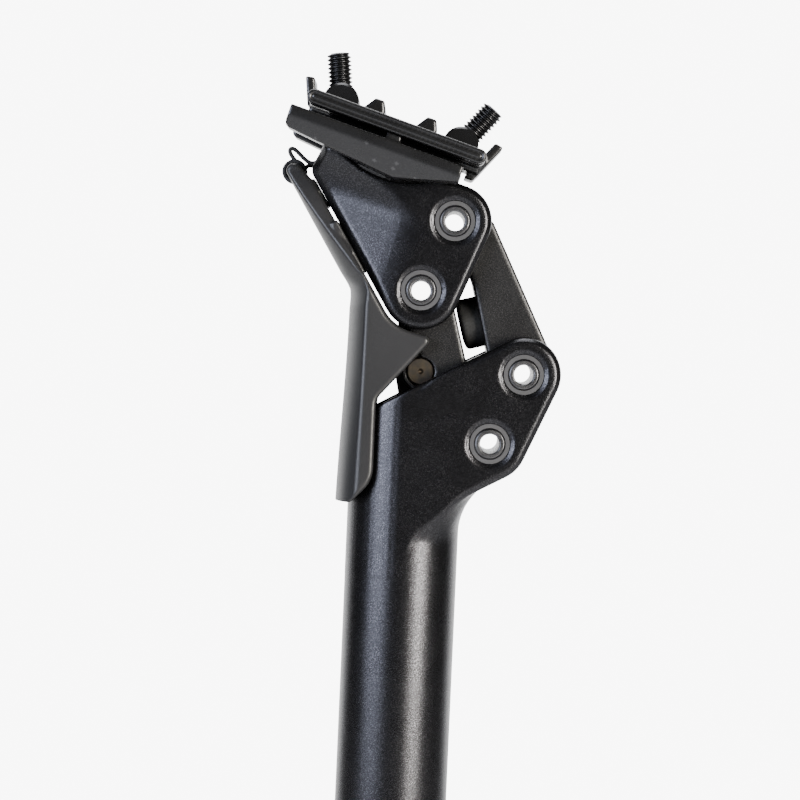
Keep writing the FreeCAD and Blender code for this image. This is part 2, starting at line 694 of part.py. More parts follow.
def fender():
    shell = fender_form(0.0).cut(fender_form(fender_wall))
    edge = rear_edge_angle()
    base = add(add(UPPER_REAR, turned(head_rear_r, edge + 90)), turned(14.0, edge))
    pad = plate(belt((*base, 0), (*add(base, turned(6.0, edge)), 0),
                     (*add(add(base, turned(6.0, edge)), turned(fender_gap + 1.0, edge + 90)), 0),
                     (*add(base, turned(fender_gap + 1.0, edge + 90)), 0)), 11.4)
    gap = plate(belt((-60, 200, 0), (60, 200, 0), (60, 400, 0), (-60, 400, 0)), 7.8)
    loops = [band_loop(side, band_r + running_gap) for side in (-1, 1)]
    return cut(joined(shell, pad.cut(gap)), *loops)


def hook_centre():
    return add(HEAD_CORNER, (hook_dx, hook_dz))


def band_loop(side, r):
    """One of the band's two turns round the hook."""
    hook = hook_centre()
    return Part.makeTorus(band_loop_r, r, V(hook[0], side * band_y, hook[1]), V(0, 1, 0))


def band_strands(r):
    """The band's two straight strands, from its turns to its ends in the head."""
    hook = hook_centre()
    anchor = add(HEAD_CORNER, (anchor_dx, anchor_dz))
    rise = math.degrees(math.atan2(anchor[1] - hook[1], anchor[0] - hook[0]))
    start = add(hook, turned(band_loop_r, rise))
    return [rod(start, anchor, r, side * band_y) for side in (-1, 1)]


def fender_band():
    """Rubber band round the fender's hook, pulled into the head under the clamp."""
    loops = [band_loop(side, band_r) for side in (-1, 1)]
    tie = cyl_y(add(hook_centre(), turned(band_loop_r, 205)), strand_r, -band_y, band_y)
    return joined(*loops, *band_strands(strand_r), tie)


def save_all(pieces):
    os.makedirs("parts", exist_ok=True)
    for node, shape in pieces.items():
        if shape.ShapeType == "Compound" and len(shape.Solids) == 1:
            shape = shape.Solids[0]
        assert shape.isValid() and shape.Solids, node
        shape.exportStep(os.path.join("parts", node + ".step"))
        print(node, len(shape.Solids), round(shape.Volume, 1))


pieces = {"post_body": post_body()}
for place_name, pivot in (("lower_rear", LOWER_REAR), ("lower_front", LOWER_FRONT),
                          ("upper_rear", UPPER_REAR), ("upper_front", UPPER_FRONT)):
    far_bush = bush(pivot, tube_r)
    pieces[place_name + "_bush_left"] = far_bush
    pieces[place_name + "_bush_right"] = mirrored(far_bush)
    pieces[place_name + "_axle"] = axle(pivot, tube_r)
pieces["front_link"] = front_link()
pieces["rear_link"] = rear_link()
pieces["topout_bumper"] = topout_bumper()
pieces["pushrod"] = pushrod()
pieces["pushrod_bush"] = pushrod_bush()
pieces["pushrod_pin"] = pushrod_pin()
pieces["piston"] = piston()
pieces["piston_ring"] = piston_ring()
pieces["main_spring"] = spring(spring_r, spring_wire)
pieces["inner_spring"] = spring(inner_spring_r, inner_spring_wire)
pieces["spring_seat"] = spring_seat()
pieces["preload_plug"] = preload_plug()
pieces["plug_o_ring"] = plug_o_ring()
pieces["head"] = head()
pieces["fender"] = fender()
pieces["fender_band"] = fender_band()
pieces["cradle"] = cradle()
pieces["upper_clamp"] = upper_clamp()
for name, side in (("rear", -1), ("front", 1)):
    pieces[name + "_clamp_bolt"] = clamp_bolt(side)
    pieces[name + "_clamp_washer"] = clamp_washer(side)
    pieces[name + "_clamp_nut"] = clamp_nut(side)
save_all(pieces)
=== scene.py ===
import json
import math

import bpy
import numpy as np
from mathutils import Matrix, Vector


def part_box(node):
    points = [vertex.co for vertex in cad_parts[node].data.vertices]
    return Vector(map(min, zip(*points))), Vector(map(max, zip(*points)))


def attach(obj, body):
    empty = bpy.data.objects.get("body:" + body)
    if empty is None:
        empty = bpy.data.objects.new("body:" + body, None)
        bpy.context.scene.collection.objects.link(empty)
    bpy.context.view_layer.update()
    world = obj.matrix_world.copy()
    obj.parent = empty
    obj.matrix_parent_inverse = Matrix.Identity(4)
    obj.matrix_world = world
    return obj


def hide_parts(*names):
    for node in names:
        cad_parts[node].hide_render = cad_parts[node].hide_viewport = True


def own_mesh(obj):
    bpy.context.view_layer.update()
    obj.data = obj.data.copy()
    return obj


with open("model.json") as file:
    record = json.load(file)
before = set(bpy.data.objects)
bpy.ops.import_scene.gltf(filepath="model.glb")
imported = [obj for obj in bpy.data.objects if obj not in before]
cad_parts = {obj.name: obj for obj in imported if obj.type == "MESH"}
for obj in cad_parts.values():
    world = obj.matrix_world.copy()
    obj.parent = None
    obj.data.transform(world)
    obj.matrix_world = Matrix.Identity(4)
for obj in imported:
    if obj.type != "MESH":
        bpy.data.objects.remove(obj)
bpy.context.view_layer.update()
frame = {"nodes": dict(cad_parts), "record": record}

import openvdb
from mathutils import Matrix, Vector

# Suspension seatpost. Shapes are worked out in millimetres and written in metres, in the
# frame's own axes: +X forward, +Y across, +Z up the tube. Points of the XZ plane are (x, z).
MM = 0.001
JOINTS = {joint["name"]: joint for joint in frame["record"]["behaviour"]["joints"]}


def turned(length, degrees):
    """A step of this length at this angle above +X."""
    return (length * math.cos(math.radians(degrees)), length * math.sin(math.radians(degrees)))


def add(point, step):
    return (point[0] + step[0], point[1] + step[1])


def joint_point(name):
    x, _, z = JOINTS[name]["pos_m"]
    return (x / MM, z / MM)


# ---------------------------------------------------------------- places and sizes
LOWER_REAR = joint_point("rear_link_pivot")
LOWER_FRONT = joint_point("suspension")
UPPER_FRONT = joint_point("head_pivot")
UPPER_REAR = add(LOWER_REAR, (UPPER_FRONT[0] - LOWER_FRONT[0], UPPER_FRONT[1] - LOWER_FRONT[1]))
PIN = joint_point("pushrod_pivot")
TILT = joint_point("clamp_tilt")
ROD_LENGTH = 45.0
FOOT = (0.0, PIN[1] - math.sqrt(ROD_LENGTH ** 2 - PIN[0] ** 2))
LINK_LENGTH = math.dist(LOWER_REAR, UPPER_REAR)
LINK_ANGLE = math.degrees(math.atan2(UPPER_REAR[1] - LOWER_REAR[1], UPPER_REAR[0] - LOWER_REAR[0]))
LINK_TURN = LINK_ANGLE - 90.0
TRAVEL = JOINTS["suspension"]["range_deg"][1]
CLAMP_SLOPE = 17.5
TUBE_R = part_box("post_body")[1][1] / MM
BORE_R = 11.0
EAR_INNER = 9.1
MOUTH_ANGLE = 28.8
BRACKET_BOSS_R = 8.95
BRACKET_FOOT_R = 24.0
BRACKET_TOE = 12.0
SLOT_FLOOR = 269.8
SLOT_REAR = 273.0
EDGE_CHAMFER = 1.2
SWING_GAP = 0.4
BUSH_R = 4.79
COUNTERBORE_R = 5.6
COUNTERBORE_DEPTH = 0.35
AXLE_R = 3.78
AXLE_HOLE_R = 2.33
AXLE_INSET = 0.35
AXLE_CHAMFER = 0.45
LINK_HALF = 8.6
LINK_BOSS_R = 6.0
LINK_CORNER_R = 10.4
BUMPER_R = 6.2
BUMPER_BACK = 2.7
BUMPER_FRONT = 4.6
PIN_R = 3.35
FRONT_HEEL_R = 7.8
HEAD_REAR_R = 9.4
HEAD_FRONT_R = 8.8
REAR_HEAD_R = 6.9
HEAD_CORNER = (-22.3, UPPER_FRONT[1] + 11.0)
HEAD_CORNER_R = 3.2
HEAD_TAPER_HALF = 7.2
SEAT_R = 21.0
CLAMP_HALF = 28.0
RAIL_R = 3.5
RAIL_Y = 22.0
RAIL_N = -12.0
NUT_U = 15.3
NUT_N = -6.5
NUT_R = 4.3
NUT_HALF = 7.5
BOLT_CONVERGE = 23.2
BOLT_R = 2.95
BOLT_HOLE_R = 3.2
BOLT_SEAT = 19.0
BOLT_ABOVE = 12.0
BOLT_HEAD_R = 4.75
BOLT_HEAD = 5.0
CHANNEL_HALF = 5.9
THREAD_PITCH = 1.0
WASHER_R = 5.3
WASHER_HEIGHT = 1.0
FENDER_WALL = 1.4
FENDER_HALF = 13.5
FENDER_TOP_HALF = 6.0
FENDER_GAP = 0.7
FENDER_BACK = -15.4
FENDER_FRONT = -7.6
FENDER_BACK_R = 22.9
HOOK = add(HEAD_CORNER, (-7.6, -0.4))
HOOK_R = 1.9
BAND_LOOP_R = 2.5
BAND_R = 0.55
STRAND_R = 0.5
BAND_Y = 1.65


def in_clamp(u, n):
    """A point given along and across the clamp line, from the tilt centre."""
    return add(TILT, add(turned(u, -CLAMP_SLOPE), turned(n, 90.0 - CLAMP_SLOPE)))


def clamp_axes(x, z):
    """Distances along and across the clamp line from the tilt centre."""
    return beyond(TILT, -CLAMP_SLOPE, x, z), beyond(TILT, 90.0 - CLAMP_SLOPE, x, z)


def bolt_point(side, below):
    """A point on a clamp bolt's axis; side is -1 at the rear and 1 at the front."""
    lean = math.radians(BOLT_CONVERGE)
    return in_clamp(side * (NUT_U - below * math.sin(lean)), NUT_N - below * math.cos(lean))


# ---------------------------------------------------------------- outlines
def rim(circle, angle):
    x, z, r = circle
    return (x + r * math.cos(angle), z + r * math.sin(angle))


def belt(*circles, fine=4.0):
    """Closed outline round circles (x, z, r), anticlockwise; r 0 is a corner, r < 0 a hollow."""
    count = len(circles)
    normals = []
    for i, (x0, z0, r0) in enumerate(circles):
        x1, z1, r1 = circles[(i + 1) % count]
        way = math.atan2(z1 - z0, x1 - x0)
        normals.append(way - math.acos((r0 - r1) / math.hypot(x1 - x0, z1 - z0)))
    points = []
    for i, angle in enumerate(normals):
        following = circles[(i + 1) % count]
        points += [rim(circles[i], angle), rim(following, angle)]
        turn = (normals[(i + 1) % count] - angle) % (2 * math.pi)
        if following[2] < 0:
            turn -= 2 * math.pi
        if following[2] != 0:
            steps = max(1, math.ceil(abs(math.degrees(turn)) / fine))
            points += [rim(following, angle + turn * k / steps) for k in range(1, steps)]
    return points


def within(points, x, z):
    """Signed distance to a closed outline of the XZ plane, negative inside."""
    nearest = np.full(np.broadcast(x, z).shape, 1e9)
    inside = np.zeros(nearest.shape, bool)
    for (ax, az), (bx, bz) in zip(points, points[1:] + points[:1]):
        ex, ez = bx - ax, bz - az
        length = ex * ex + ez * ez
        if length < 1e-12:
            continue
        along = np.clip(((x - ax) * ex + (z - az) * ez) / length, 0, 1)
        nearest = np.minimum(nearest, (x - ax - along * ex) ** 2 + (z - az - along * ez) ** 2)
        if ez != 0:
            inside ^= ((az > z) != (bz > z)) & (x < ex * (z - az) / ez + ax)
    return np.where(inside, -1, 1) * np.sqrt(nearest)


def disc(centre, r, x, z):
    return np.hypot(x - centre[0], z - centre[1]) - r


def bar(start, end, r, x, y, z, y0=0.0):
    """Distance to a round bar between two points of the plane y = y0."""
    length = math.dist(start, end)
    ux, uz = (end[0] - start[0]) / length, (end[1] - start[1]) / length
    along = (x - start[0]) * ux + (z - start[1]) * uz
    aside = (x - start[0]) * uz - (z - start[1]) * ux
    return np.maximum(np.hypot(aside, y - y0) - r, np.maximum(-along, along - length))


def beyond(point, degrees, x, z):
    """Distance past a line through a point, on the side that the angle points to."""
    ux, uz = turned(1.0, degrees)
    return (x - point[0]) * ux + (z - point[1]) * uz


# ---------------------------------------------------------------- solids from distances
def both(a, b, r=0.0):
    """What lies in both forms, with its edge rounded to radius r."""
    if r == 0:
        return np.maximum(a, b)
    u, v = np.maximum(r + a, 0), np.maximum(r + b, 0)
    return np.minimum(-r, np.maximum(a, b)) + np.sqrt(u * u + v * v)


def either(a, b, r=0.0):
    """What lies in either form, with a fillet of radius r between them."""
    if np.ndim(r) == 0 and r == 0:
        return np.minimum(a, b)
    u, v = np.maximum(r - a, 0), np.maximum(r - b, 0)
    return np.maximum(r, np.minimum(a, b)) - np.sqrt(u * u + v * v)


def bevelled(a, b, size, r=0.35):
    """What lies in both forms, with a chamfer along the edge and its corners softened."""
    return both(both(a, (a + b + size) * math.sqrt(0.5), r), b, r)


def smooth(value, low, high):
    t = np.clip((value - low) / (high - low), 0, 1)
    return t * t * (3 - 2 * t)


def meshed(name, low, high, step, distance, warp=None):
    """Mesh of the surface where distance(x, y, z) is zero; warp maps the grid's heights to real ones."""
    axes = [np.arange(a, b + step, step) for a, b in zip(low, high)]
    heights = axes[2] if warp is None else np.interp(axes[2], *warp)
    x, y, z = axes[0][:, None, None], axes[1][None, :, None], heights[None, None, :]
    values = np.clip(np.broadcast_to(distance(x, y, z), [len(a) for a in axes]), -3 * step, 3 * step)
    grid = openvdb.FloatGrid(3 * step)
    grid.copyFromArray(np.ascontiguousarray(values, dtype=np.float32))
    points, _, quads = grid.convertToPolygons(isovalue=0.0, adaptivity=0.0)
    points = points * step + np.array(low)
    if warp is not None:
        points[:, 2] = np.interp(points[:, 2], *warp)
    return piece(name, points, quads[:, ::-1])


def piece(name, points, faces):
    """A smooth shaded mesh object; points are in millimetres."""
    mesh = bpy.data.meshes.new(name)
    mesh.from_pydata((np.asarray(points) * MM).tolist(), [], [list(map(int, face)) for face in faces])
    mesh.validate()
    mesh.shade_smooth()
    obj = bpy.data.objects.new(name, mesh)
    bpy.context.scene.collection.objects.link(obj)
    return obj


def stand_for(obj, body, node, look):
    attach(obj, body)
    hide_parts(node)
    obj.data.materials.clear()
    obj.data.materials.append(look)


# ---------------------------------------------------------------- post
def mouth_point():
    return add(LOWER_FRONT, turned(BRACKET_BOSS_R, MOUTH_ANGLE + 90.0))


def mouth_height(x):
    touch = mouth_point()
    return touch[1] + (x - touch[0]) * math.tan(math.radians(MOUTH_ANGLE))


def pivot_bores(form, pivots, x, y, z):
    """Bush bores through both ears, with shallow outer counterbores."""
    for pivot in pivots:
        form = both(form, -disc(pivot, BUSH_R, x, z), 0.15)
        counter = both(disc(pivot, COUNTERBORE_R, x, z), TUBE_R - COUNTERBORE_DEPTH - np.abs(y))
        form = both(form, -counter, 0.15)
    return form


def post_form(x, y, z):
    below = turned(BRACKET_BOSS_R, MOUTH_ANGLE - 90.0)
    toe = add(add(LOWER_REAR, below), turned(BRACKET_TOE, MOUTH_ANGLE + 180.0))
    sweep = add(toe, turned(BRACKET_FOOT_R, MOUTH_ANGLE - 90.0))
    ear = within(belt((*LOWER_REAR, BRACKET_BOSS_R), (*LOWER_FRONT, BRACKET_BOSS_R),
                      (-20, mouth_height(-20), 0), (-20, sweep[1], 0), (0, sweep[1], 0),
                      (*sweep, -BRACKET_FOOT_R)), x, z)
    stadium = np.hypot(np.minimum(x, 0), y) - TUBE_R
    ear = bevelled(ear, stadium, EDGE_CHAMFER)
    tube = np.hypot(x, y) - TUBE_R
    mouth = beyond(mouth_point(), MOUTH_ANGLE + 90.0, x, z)
    blend = 7.0 * smooth(x, 2.0, 11.0) + 0.01
    form = either(tube, ear, blend)
    form = both(both(form, np.abs(y) - TUBE_R), mouth, 0.5)
    form = both(form, -z, 0.5)
    reach = 60.0
    room = within(belt((*LOWER_REAR, LINK_BOSS_R + SWING_GAP), (*LOWER_FRONT, FRONT_HEEL_R + 2 * SWING_GAP),
                       (LOWER_FRONT[0], mouth_height(reach), 0), (-reach, mouth_height(reach), 0),
                       (-reach, SLOT_REAR, 0), (2.0 - BORE_R, SLOT_REAR, 0)), x, z)
    pocket = within(belt((*LOWER_REAR, LINK_BOSS_R + SWING_GAP), (LOWER_REAR[0], SLOT_REAR + reach, 0),
                         (0, SLOT_REAR + reach, 0), (0, SLOT_FLOOR, 0)), x, z)
    space = both(np.minimum(room, pocket), np.abs(y) - EAR_INNER, 0.8)
    full_rear = add(LOWER_REAR, turned(LINK_LENGTH, LINK_ANGLE + TRAVEL))
    relief = disc(full_rear, HEAD_REAR_R + SWING_GAP, x, z)
    for hollow in (np.hypot(x, y) - BORE_R, space, relief):
        form = both(form, -hollow, 0.4)
    return pivot_bores(form, (LOWER_REAR, LOWER_FRONT), x, y, z)


def post():
    """The tube's plain length is drawn with long steps, its end and its bracket with fine ones."""
    low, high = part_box("post_body")
    fine_end, plain_top, shrink = 3.0, 236.0, 12.0
    squeezed = fine_end + (plain_top - fine_end) / shrink
    top = squeezed + high[2] / MM - plain_top + 1.0
    warp = ((-1.0, fine_end, squeezed, top), (-1.0, fine_end, plain_top, plain_top + top - squeezed))
    return meshed("post", (low[0] / MM - 1, low[1] / MM - 1, -1.0), (high[0] / MM + 1, high[1] / MM + 1, top),
                  0.4, post_form, warp)


# ---------------------------------------------------------------- head
def head_form(x, y, z):
    corner = (*HEAD_CORNER, HEAD_CORNER_R)
    side = within(belt((*UPPER_REAR, HEAD_REAR_R), (*UPPER_FRONT, HEAD_FRONT_R), (*in_clamp(9.0, -15.5), 0),
                       (*in_clamp(-14.5, -13.0), 0), corner), x, z)
    cheek = both(np.abs(y) - TUBE_R, -scoop(x, np.abs(y), z), 0.9)
    form = bevelled(side, cheek, EDGE_CHAMFER + 0.5 * smooth(-x, 0.0, 12.0), 0.3)
    form = both(form, -disc(TILT, SEAT_R, x, z), 0.5)
    u, n = clamp_axes(x, z)
    form = both(form, -both(u + 14.6, -13.5 - n), 0.6)
    form = both(form, -both(12.0 - u, -15.2 - n), 0.6)
    link_room = within(belt((*UPPER_REAR, REAR_HEAD_R + SWING_GAP), (*add(UPPER_REAR, (-8.0, -40)), 0),
                            (*add(UPPER_REAR, (60, -40)), 0), (*add(UPPER_FRONT, turned(60, 60)), 0),
                            (*add(UPPER_FRONT, turned(LINK_CORNER_R, 60)), 0),
                            (*UPPER_FRONT, LINK_BOSS_R + SWING_GAP)), x, z)
    form = both(form, -both(link_room, np.abs(y) - EAR_INNER, 0.6), 0.4)
    form = both(form, -both(within(channel_outline(), x, z), np.abs(y) - CHANNEL_HALF, 0.8), 0.4)
    for way in (-1, 1):
        form = both(form, -bar(bolt_point(way, 0), bolt_point(way, BOLT_SEAT + 2), BOLT_HOLE_R, x, y, z), 0.2)
    return pivot_bores(form, (UPPER_REAR, UPPER_FRONT), x, y, z)


def scoop(x, side_y, z):
    """Space beside the head's rear: a slanting floor that narrows it, under a flaring roof."""
    back = add(UPPER_REAR, (-7.5, 0.5))
    front = add(UPPER_FRONT, (-10.0, 1.5))
    far = (HEAD_CORNER[0] - HEAD_CORNER_R, HEAD_CORNER[1])
    length = math.dist(back, front)
    outward = (-(front[1] - back[1]) / length, (front[0] - back[0]) / length)
    depth = (far[0] - back[0]) * outward[0] + (far[1] - back[1]) * outward[1]
    slope = (TUBE_R - HEAD_TAPER_HALF) / depth
    run = (x - back[0]) * outward[0] + (z - back[1]) * outward[1]
    floor = (TUBE_R - slope * run - side_y) / math.hypot(1, slope)
    roof_left = Vector((-21.0, TUBE_R, 347.0))
    roof_right = Vector((1.0, TUBE_R, 334.0))
    roof_floor = Vector((-23.1, 7.9, 341.6))
    normal = (roof_right - roof_left).cross(roof_floor - roof_left).normalized()
    if normal.z < 0:
        normal = -normal
    roof = (x - roof_left.x) * normal.x + (side_y - TUBE_R) * normal.y + (z - roof_left.z) * normal.z
    return both(floor, roof, 3.0)


def channel_outline():
    """Slot open to the rear for both bolt heads, with a seat square to each bolt."""
    front_seat, rear_seat = bolt_point(1, BOLT_SEAT), bolt_point(-1, BOLT_SEAT)
    front_way, rear_way = bolt_way(1), bolt_way(-1)
    half = WASHER_R + 0.5
    inner = add(front_seat, turned(half, front_way + 90))
    deep = add(inner, turned(8.5, front_way))
    outer = add(rear_seat, turned(60.0, rear_way - 90))
    return [deep, inner, add(front_seat, turned(half, front_way - 90)),
            add(rear_seat, turned(half, rear_way + 90)), outer, add(outer, turned(60.0, rear_way))]


def bolt_way(side):
    """Direction of a bolt, from its nut to its head, above +X."""
    return 270.0 - CLAMP_SLOPE - side * BOLT_CONVERGE


def around(node, margin=1.0):
    """A node's box in millimetres, with room round it."""
    low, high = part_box(node)
    return [v / MM - margin for v in low], [v / MM + margin for v in high]


def head():
    low, high = around("head")
    return meshed("head_body", low, high, 0.4, head_form)


# ---------------------------------------------------------------- links
def link_axes(pivot, x, z):
    """Distances in front of a link's pivot line and along it."""
    return beyond(pivot, LINK_TURN, x, z), beyond(pivot, LINK_ANGLE, x, z)


def front_link_form(x, y, z):
    t, s = link_axes(LOWER_FRONT, x, z)
    side = within(belt((0.3, 0, FRONT_HEEL_R), (7.6, 36.0, 0.8), (0, LINK_LENGTH, LINK_BOSS_R),
                       (-14.0, 27.0, -12.0)), t, s)
    form = bevelled(side, np.abs(y) - LINK_HALF, 0.5, 0.3)
    holes = np.minimum(disc(LOWER_FRONT, AXLE_R, x, z), disc(UPPER_FRONT, AXLE_R, x, z))
    return both(both(form, -holes), -bumper_room(x, y, z), 0.3)


def bumper_line():
    """Centre of the top-out bumper on the rear link, and its axis's angle above +X."""
    centre = add(LOWER_REAR, add(turned(7.74, LINK_TURN), turned(28.1, LINK_ANGLE)))
    return centre, LINK_TURN - math.degrees(math.asin((REAR_HEAD_R - 1.7) / (LINK_LENGTH - 14.0)))


def bumper_room(x, y, z):
    centre, slant = bumper_line()
    start, end = add(centre, turned(-BUMPER_BACK, slant)), add(centre, turned(BUMPER_FRONT, slant))
    return bar(start, end, BUMPER_R, x, y, z)


def rear_link_form(x, y, z):
    t, s = link_axes(LOWER_REAR, x, z)
    waist = (7.7, 14.0, -6.0)
    body = within(belt((0, 0, LINK_BOSS_R), waist, (0, LINK_LENGTH, REAR_HEAD_R)), t, s)
    lug = within(belt((0, 0, LINK_BOSS_R), waist, (0, LINK_LENGTH, LINK_BOSS_R), (-8.06, 22.5, 4.6)), t, s)
    form = either(bevelled(body, np.abs(y) - LINK_HALF, 0.4, 0.3), both(lug, np.abs(y) - 7.0, 0.6), 0.5)
    rest = math.degrees(math.atan2(FOOT[1] - PIN[1], FOOT[0] - PIN[0]))
    swing = [(*add(PIN, turned(30.0, rest + a)), 5.0) for a in (-48.0, 4.0)]
    fork = within(belt((*PIN, 6.6), *swing), x, z)
    form = both(form, -both(fork, np.abs(y) - 4.3, 0.4), 0.3)
    holes = np.minimum(disc(LOWER_REAR, AXLE_R, x, z), disc(UPPER_REAR, AXLE_R, x, z))
    return both(both(form, -holes), -disc(PIN, PIN_R, x, z), 0.2)


# ---------------------------------------------------------------- fender
def rear_edge_angle():
    """Slope of the head's straight rear edge, from its lower boss up to its corner."""
    way = (HEAD_CORNER[0] - UPPER_REAR[0], HEAD_CORNER[1] - UPPER_REAR[1])
    lean = math.degrees(math.asin((HEAD_REAR_R - HEAD_CORNER_R) / math.hypot(*way)))
    return math.degrees(math.atan2(way[1], way[0])) - lean


def fender_outline():
    edge = rear_edge_angle()
    clear = HEAD_REAR_R + FENDER_GAP
    inner_top = add(add(UPPER_REAR, turned(clear, edge + 90)), turned(36.0, edge))
    tip = UPPER_REAR[1] - 54.5
    return belt((*HOOK, HOOK_R), (FENDER_BACK, UPPER_REAR[1] - 0.5, 0), (FENDER_BACK + 0.8, tip + 0.8, 0.8),
                (FENDER_FRONT - 8.0, tip + 11.5, 8.0), (FENDER_FRONT + 4.0, UPPER_REAR[1] - 28.0, -4.0),
                (UPPER_REAR[0] + 1.2, UPPER_REAR[1] - clear - 2.0, 1.3), (*UPPER_REAR, -clear),
                (*inner_top, 0))


def fender_solid(x, y, z, inset):
    """The guard's outer form, or the space inside it when inset is its wall."""
    lean = 1.5 * smooth(UPPER_REAR[1] - z, 4.0, 60.0) * smooth(-x, 8.0, 16.0)
    x = x + lean
    side = within(fender_outline(), x - inset, z)
    start, top = UPPER_REAR[1] + 3.0, HOOK[1]
    half = FENDER_HALF - (FENDER_HALF - FENDER_TOP_HALF) * np.clip((z - start) / (top - start), 0, 1) - inset
    bend = (FENDER_BACK + inset, UPPER_REAR[1] - 0.5)
    arm = rear_edge_angle() + 0.5
    radius = FENDER_BACK_R - inset
    shield = np.hypot(x - bend[0] - radius, y) - radius
    crown = np.hypot(-beyond(bend, arm + 90, x, z) - radius, y) - radius
    share = smooth(beyond(bend, (arm + 90) / 2, x, z), -5.0, 5.0)
    back = shield * (1 - share) + crown * share
    return both(both(side, np.abs(y) - half, 1.0), back, 0.5)


def fender_form(x, y, z):
    shell = both(fender_solid(x, y, z, 0.0), -fender_solid(x, y, z, FENDER_WALL), 0.45)
    edge = rear_edge_angle()
    for start, end, middle in ((10.5, 24.5, 9.0), (28.5, 36.0, 4.6)):
        base = add(add(UPPER_REAR, turned(HEAD_REAR_R + 0.1, edge + 90)), turned(start, edge))
        far = add(base, turned(end - start, edge))
        lift = turned(FENDER_GAP + 1, edge + 90)
        side = within([base, far, add(far, lift), add(base, lift)], x, z)
        pad = both(side, np.abs(np.abs(y) - middle) - 1.3, 0.3)
        shell = either(shell, pad, 0.4)
    return shell


# ---------------------------------------------------------------- saddle clamp
def rails_and_slots(form, x, y, z, below):
    """Takes the two rail grooves and the two bolt slots out of a clamp half."""
    u, n = clamp_axes(x, z)
    groove = np.hypot(n - RAIL_N, np.abs(y) - RAIL_Y) - RAIL_R
    form = both(form, -groove, 0.4)
    for side in (-1, 1):
        slot = bar(bolt_point(side, -2), bolt_point(side, below), BOLT_HOLE_R, x, y, z)
        aside = turned(1.3, -CLAMP_SLOPE)
        for way in (-1, 1):
            slot = np.minimum(slot, bar(add(bolt_point(side, -2), (way * aside[0], way * aside[1])),
                                        add(bolt_point(side, below), (way * aside[0], way * aside[1])),
                                        BOLT_HOLE_R, x, y, z))
        form = both(form, -slot, 0.3)
    return form


def cradle_form(x, y, z):
    u, n = clamp_axes(x, z)
    side_y = np.abs(y)
    plate = within(belt((-25.0, -12.2, 0), (-23.6, -16.2, 1.4), (3.0, -17.2, 3.0), (17.9, -16.2, 0),
                        (17.9, -12.2, 0)), u, n)
    facet = (side_y - CLAMP_HALF) * math.cos(math.radians(30)) - (n + 14.7) * math.sin(math.radians(30))
    wing = both(both(plate, side_y - CLAMP_HALF, 0.35), facet, 0.3)
    tab = both(both(np.abs(u - 0.2) - 1.8, np.abs(n + 12.0) - 1.25, 0.2), np.abs(side_y - 26.6) - 0.9, 0.2)
    wing = np.minimum(wing, tab)
    outside = both(wing, TUBE_R + 0.8 - side_y, 0.5)
    rocker = both(both(np.abs(u) - 13.0, n + 12.4), side_y - 13.0, 0.6)
    seat = np.hypot(u, n) - SEAT_R + 0.05
    middle = both(np.minimum(both(wing, side_y - TUBE_R - 1.4), rocker), seat, 0.3)
    return rails_and_slots(either(outside, middle, 0.3), x, y, z, 18)


def upper_clamp_form(x, y, z):
    u, n = clamp_axes(x, z)
    side_y = np.abs(y)
    nose = 1.75
    bar_side = np.hypot(np.maximum(np.abs(u) - 22.2 + nose, 0), n + 7.0 + nose) - nose
    form = both(bar_side, side_y - CLAMP_HALF, 0.6)
    form = both(form, 0.32 - np.hypot(bar_side + 1.05, side_y - CLAMP_HALF), 0.1)
    across = np.abs(u)
    pad = both(both(across - 21.8, np.abs(n + 9.55) - 2.55, 0.8), side_y - NUT_HALF - 2, 0.8)
    form = either(form, pad, 0.6)
    for middle in (-6.6, 6.6):
        hump = [(-2.9, -8.2), (2.3, -8.2), (2.3, -5.4), (1.3, -3.2), (-0.9, -3.2), (-2.9, -6.2)]
        ridge = within([(middle + du, dn) for du, dn in hump], u, n)
        form = either(form, both(ridge, side_y - 11.0, 0.7), 0.3)
    lean = math.tan(math.radians(BOLT_CONVERGE))
    lean_u = (across - 18.6 - (n + 13.8) * lean) * math.cos(math.radians(BOLT_CONVERGE))
    foot = np.where(u > 0, -13.8, -10.5)
    ends = np.maximum(n + 3.4 + 0.2 * lean_u, foot - n)
    lip = both(both(np.abs(lean_u - 1.1) - 1.1, side_y - 8.5, 0.5), ends, 0.4)
    form = either(form, lip, 0.5)
    nut_room = both(np.hypot(across - NUT_U, np.minimum(n - NUT_N, 0)) - NUT_R - 0.1, side_y - NUT_HALF - 0.3)
    form = both(form, -nut_room, 0.3)
    return rails_and_slots(form, x, y, z, 12)


# ---------------------------------------------------------------- turned parts and threads
def lathe(name, profile, start, end, sides=64):
    """A turned part about the line from start to end (mm, 3-D); profile is (distance, radius) pairs."""
    start, end = Vector(start), Vector(end)
    way = (end - start).normalized()
    across = way.orthogonal().normalized()
    other = way.cross(across)
    points, faces = [], []
    for along, radius in profile:
        for k in range(sides):
            angle = 2 * math.pi * k / sides
            points.append(start + way * along + (across * math.cos(angle) + other * math.sin(angle)) * radius)
    rows = len(profile)
    for i in range(rows):
        j = (i + 1) % rows
        for k in range(sides):
            m = (k + 1) % sides
            faces.append((i * sides + k, i * sides + m, j * sides + m, j * sides + k))
    return piece(name, points, faces)


def soft_profile(corners, r=0.15, steps=4):
    """Closed profile with each corner rounded; corners are (distance, radius) pairs in order."""
    profile = []
    count = len(corners)
    for i in range(count):
        before, here, after = (Vector(corners[(i + k) % count]) for k in (-1, 0, 1))
        size = min(r, (before - here).length / 2.1, (after - here).length / 2.1)
        a = here + (before - here).normalized() * size
        b = here + (after - here).normalized() * size
        for k in range(steps + 1):
            t = k / steps
            profile.append(tuple(a * (1 - t) ** 2 + here * 2 * t * (1 - t) + b * t ** 2))
    return profile


def at_y(point, y):
    return (point[0], y, point[1])


